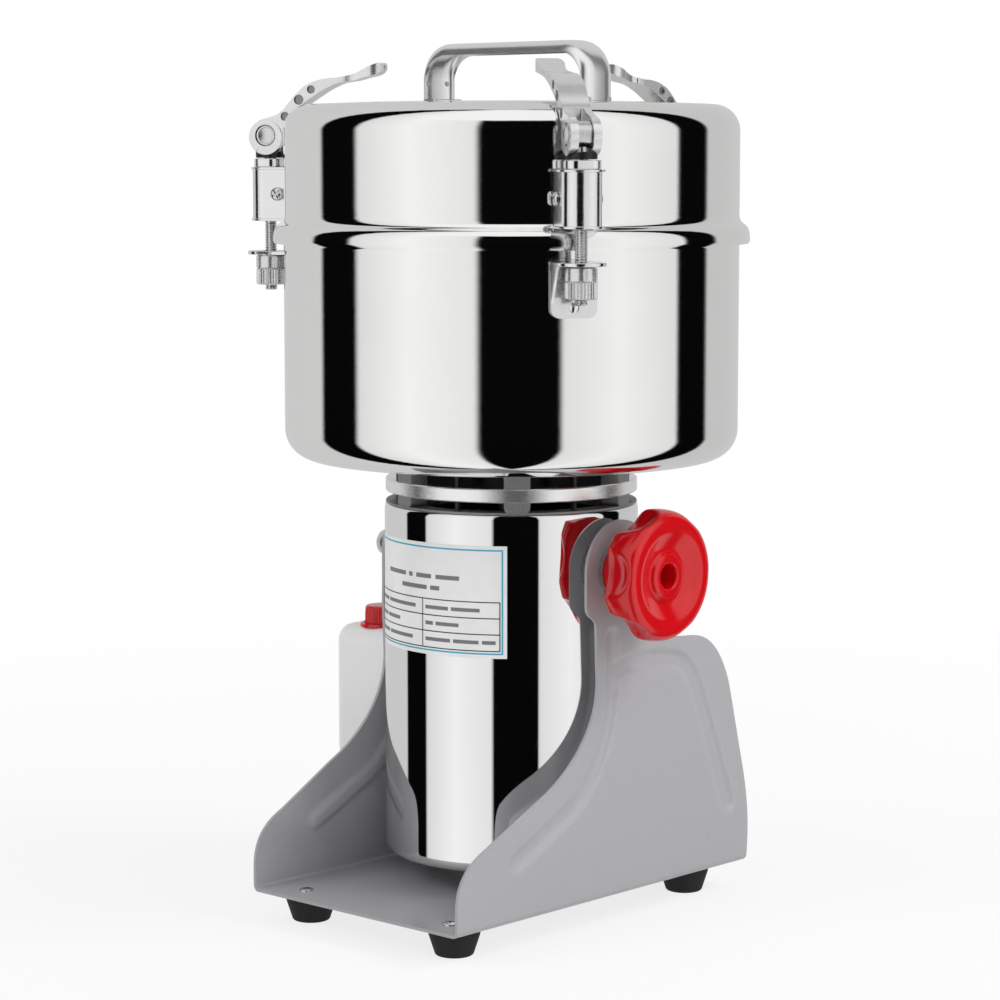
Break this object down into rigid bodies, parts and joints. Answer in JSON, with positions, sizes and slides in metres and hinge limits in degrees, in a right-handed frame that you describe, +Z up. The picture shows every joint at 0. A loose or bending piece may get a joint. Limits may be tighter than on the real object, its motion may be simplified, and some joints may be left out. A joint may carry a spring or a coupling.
{
  "type": "hammer mill",
  "caption": "Bench-top batch hammer mill: a clamped steel bowl on a motor housing that tilts between the walls of a sheet-metal stand and is held by a side knob.",
  "frame": {"origin": "on the table under the middle of the overall box; the motor axis stands at x 4.9 mm, y -9.2 mm", "axes": "+Z up along the motor axis; +X along the pivot axis towards the locking knob; -Y towards the open front of the stand"},
  "size_m": [0.2318, 0.2404, 0.4066],
  "materials": {
    "grey_paint": "hammered grey enamel, semi-gloss",
    "light_paint": "light grey enamel",
    "polished_steel": "polished stainless steel",
    "brushed_steel": "plain stainless steel",
    "cast_aluminium": "as cast, bead blasted",
    "black_steel": "black oxide",
    "red_plastic": "glossy red",
    "black_plastic": "satin black",
    "rubber": "matte black",
    "silicone": "off-white silicone",
    "lamination": "stacked electrical steel",
    "copper": "enamelled copper"
  },
  "bodies": {
    "stand": {"stand_frame": "grey_paint", "foot_front_left": "rubber", "foot_front_right": "rubber", "foot_rear_left": "rubber", "foot_rear_right": "rubber", "control_box": "light_paint", "cable_gland": "black_plastic"},
    "power_button": {"power_button": "red_plastic"},
    "timer_knob": {"timer_knob": "black_plastic"},
    "head": {"pivot_bolt": "brushed_steel", "pivot_stud": "brushed_steel", "pivot_spacer": "brushed_steel", "motor_housing": "polished_steel", "lower_bearing_bracket": "cast_aluminium", "stator_core": "lamination", "field_coil_front": "copper", "field_coil_rear": "copper", "brush_holder_left": "black_plastic", "brush_holder_right": "black_plastic", "lower_bearing": "brushed_steel", "upper_bearing": "brushed_steel", "collar_casting": "cast_aluminium", "bowl": "polished_steel", "shaft_seal": "rubber", "clamp_catch_front_right": "polished_steel", "clamp_catch_front_left": "polished_steel", "clamp_catch_rear": "polished_steel"},
    "knob_washer": {"knob_washer": "brushed_steel"},
    "locking_knob": {"locking_knob": "red_plastic"},
    "rotor": {"motor_shaft": "brushed_steel", "armature_core": "lamination", "commutator": "copper", "cooling_fan": "black_plastic", "lower_beater": "brushed_steel", "blade_spacer_lower": "brushed_steel", "middle_blade": "brushed_steel", "blade_spacer_upper": "brushed_steel", "upper_blade": "brushed_steel", "blade_nut": "brushed_steel"},
    "lid": {"lid": "polished_steel", "lid_seal": "silicone", "lid_handle": "brushed_steel", "clamp_base_front_right": "brushed_steel", "clamp_barrel_front_right": "polished_steel", "clamp_washer_front_right": "black_steel", "clamp_base_front_left": "brushed_steel", "clamp_barrel_front_left": "polished_steel", "clamp_washer_front_left": "black_steel", "clamp_base_rear": "brushed_steel", "clamp_barrel_rear": "polished_steel", "clamp_washer_rear": "black_steel"},
    "rod_front_right": {"clamp_rod_front_right": "brushed_steel"},
    "nut_front_right": {"clamp_nut_front_right": "cast_aluminium"},
    "lever_front_right": {"clamp_lever_front_right": "polished_steel"},
    "rod_front_left": {"clamp_rod_front_left": "brushed_steel"},
    "nut_front_left": {"clamp_nut_front_left": "cast_aluminium"},
    "lever_front_left": {"clamp_lever_front_left": "polished_steel"},
    "rod_rear": {"clamp_rod_rear": "brushed_steel"},
    "nut_rear": {"clamp_nut_rear": "cast_aluminium"},
    "lever_rear": {"clamp_lever_rear": "polished_steel"}
  },
  "joints": [
    {"name": "button_press", "type": "slide", "parent": "stand", "child": "power_button", "axis": [0, 0, -1], "range_m": [0, 0.0025], "stiffness_N_per_m": 800},
    {"name": "timer_turn", "type": "hinge", "parent": "stand", "child": "timer_knob", "pos_m": [-0.10671, 0.01076, 0.084], "axis": [-1, 0, 0], "range_deg": [-300, 0]},
    {"name": "head_tilt", "type": "hinge", "parent": "stand", "child": "head", "pos_m": [0.00485, -0.00924, 0.1661], "axis": [1, 0, 0], "range_deg": [-60, 90]},
    {"name": "washer_travel", "type": "slide", "parent": "head", "child": "knob_washer", "axis": [1, 0, 0], "range_m": [0, 0.00225]},
    {"name": "knob_turn", "type": "hinge", "parent": "knob_washer", "child": "locking_knob", "pos_m": [0.08129, -0.00924, 0.1661], "axis": [1, 0, 0], "range_deg": [0, 540]},
    {"name": "rotor_spin", "type": "hinge", "parent": "head", "child": "rotor", "pos_m": [0.00485, -0.00924, 0.15], "axis": [0, 0, 1], "continuous": true},
    {"name": "lid_turn", "type": "hinge", "parent": "head", "child": "lid", "pos_m": [0.00485, -0.00924, 0.34], "axis": [0, 0, 1], "range_deg": [0, 105]},
    {"name": "rod_travel_front_right", "type": "slide", "parent": "lid", "child": "rod_front_right", "axis": [0, 0, -1], "range_m": [0, 0.0012]},
    {"name": "lever_turn_front_right", "type": "hinge", "parent": "rod_front_right", "child": "lever_front_right", "pos_m": [0.10457, -0.074, 0.3638], "axis": [0.5446, 0.8387, 0], "range_deg": [0, 130]},
    {"name": "nut_turn_front_right", "type": "hinge", "parent": "rod_front_right", "child": "nut_front_right", "pos_m": [0.10457, -0.074, 0.3], "axis": [0, 0, 1], "range_deg": [-180, 180]},
    {"name": "rod_travel_front_left", "type": "slide", "parent": "lid", "child": "rod_front_left", "axis": [0, 0, -1], "range_m": [0, 0.0012]},
    {"name": "lever_turn_front_left", "type": "hinge", "parent": "rod_front_left", "child": "lever_front_left", "pos_m": [-0.10109, -0.06322, 0.3638], "axis": [0.454, -0.891, 0], "range_deg": [0, 130]},
    {"name": "nut_turn_front_left", "type": "hinge", "parent": "rod_front_left", "child": "nut_front_left", "pos_m": [-0.10109, -0.06322, 0.3], "axis": [0, 0, 1], "range_deg": [-180, 180]},
    {"name": "rod_travel_rear", "type": "slide", "parent": "lid", "child": "rod_rear", "axis": [0, 0, -1], "range_m": [0, 0.0012]},
    {"name": "lever_turn_rear", "type": "hinge", "parent": "rod_rear", "child": "lever_rear", "pos_m": [0.01107, 0.1095, 0.3638], "axis": [-0.9986, 0.0523, 0], "range_deg": [0, 130]},
    {"name": "nut_turn_rear", "type": "hinge", "parent": "rod_rear", "child": "nut_rear", "pos_m": [0.01107, 0.1095, 0.3], "axis": [0, 0, 1], "range_deg": [-180, 180]}
  ],
  "couplings": [
    {"joint": "knob_turn", "follows": "washer_travel", "rad_per_m": 4188.8},
    {"joint": "lever_turn_front_right", "follows": "rod_travel_front_right", "rad_per_m": 1890},
    {"joint": "lever_turn_front_left", "follows": "rod_travel_front_left", "rad_per_m": 1890},
    {"joint": "lever_turn_rear", "follows": "rod_travel_rear", "rad_per_m": 1890}
  ]
}
